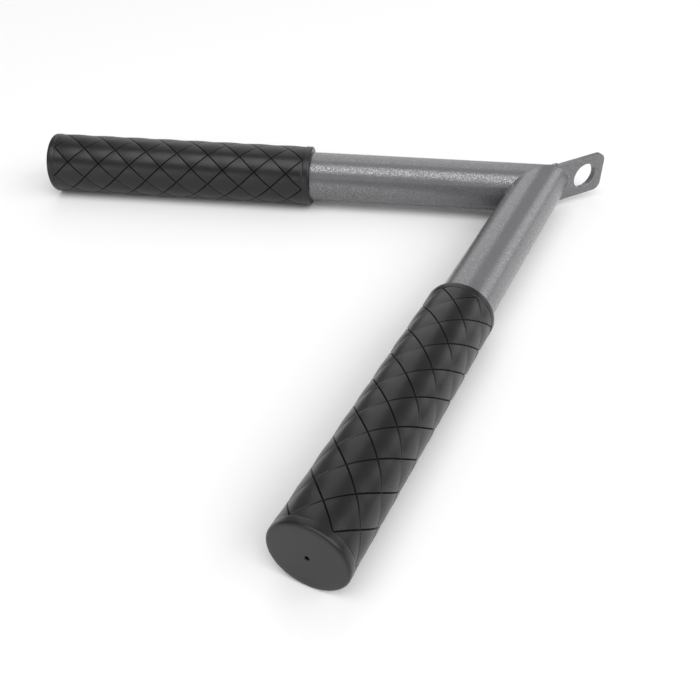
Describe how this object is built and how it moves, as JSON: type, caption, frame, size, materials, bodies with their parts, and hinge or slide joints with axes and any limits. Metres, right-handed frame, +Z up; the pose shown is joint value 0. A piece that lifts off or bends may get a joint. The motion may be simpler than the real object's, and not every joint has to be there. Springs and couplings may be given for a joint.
{
  "type": "v-shaped pull handle",
  "caption": "V-shaped pull handle: two mitred steel tubes with diamond-grooved rubber grips and an eye plate to hang it from a snap hook.",
  "frame": {"origin": "on the surface that the handle lies on, under the middle of its outline box", "axes": "+X across the two arms, +Y from their open end towards the eye plate, +Z up"},
  "size_m": [0.3306, 0.266, 0.031],
  "materials": {
    "powder_coat": "grey powder coat, finely textured, satin",
    "grip_rubber": "black moulded rubber, satin"
  },
  "bodies": {
    "root": {"left_tube": "powder_coat", "right_tube": "powder_coat", "eye_plate": "powder_coat", "mitre_weld": "powder_coat", "left_eye_weld": "powder_coat", "right_eye_weld": "powder_coat", "left_grip": "grip_rubber", "right_grip": "grip_rubber"}
  },
  "joints": []
}
